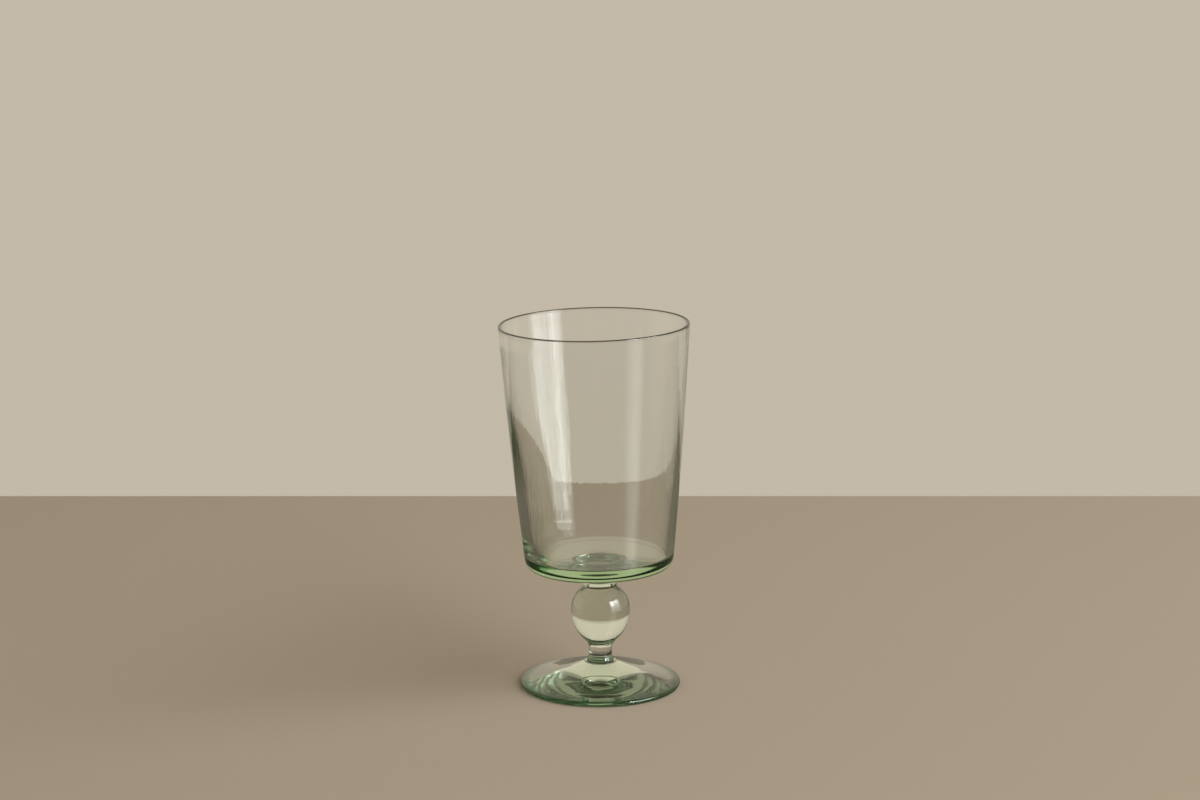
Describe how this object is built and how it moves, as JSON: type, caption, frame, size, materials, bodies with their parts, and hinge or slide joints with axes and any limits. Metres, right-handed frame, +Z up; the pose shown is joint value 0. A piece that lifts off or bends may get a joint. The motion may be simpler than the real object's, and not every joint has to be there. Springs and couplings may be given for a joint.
{
  "type": "water goblet",
  "caption": "Water goblet of pale green hand-made glass: tapered bowl with a thick base, ball-knop stem and low conical foot.",
  "frame": {"origin": "middle of the flat ring that the foot rests on, on the table's surface", "axes": "+Z up along the stem, -Y towards the viewer of the picture, -X the side that the bowl leans to by 1.3 degrees"},
  "size_m": [0.0821, 0.0822, 0.1609],
  "materials": {
    "green_glass": "clear, smooth, faintly green where it is thick, with fine vertical draw lines in the bowl"
  },
  "bodies": {
    "root": {"bowl": "green_glass", "stem": "green_glass", "foot": "green_glass"}
  },
  "joints": []
}
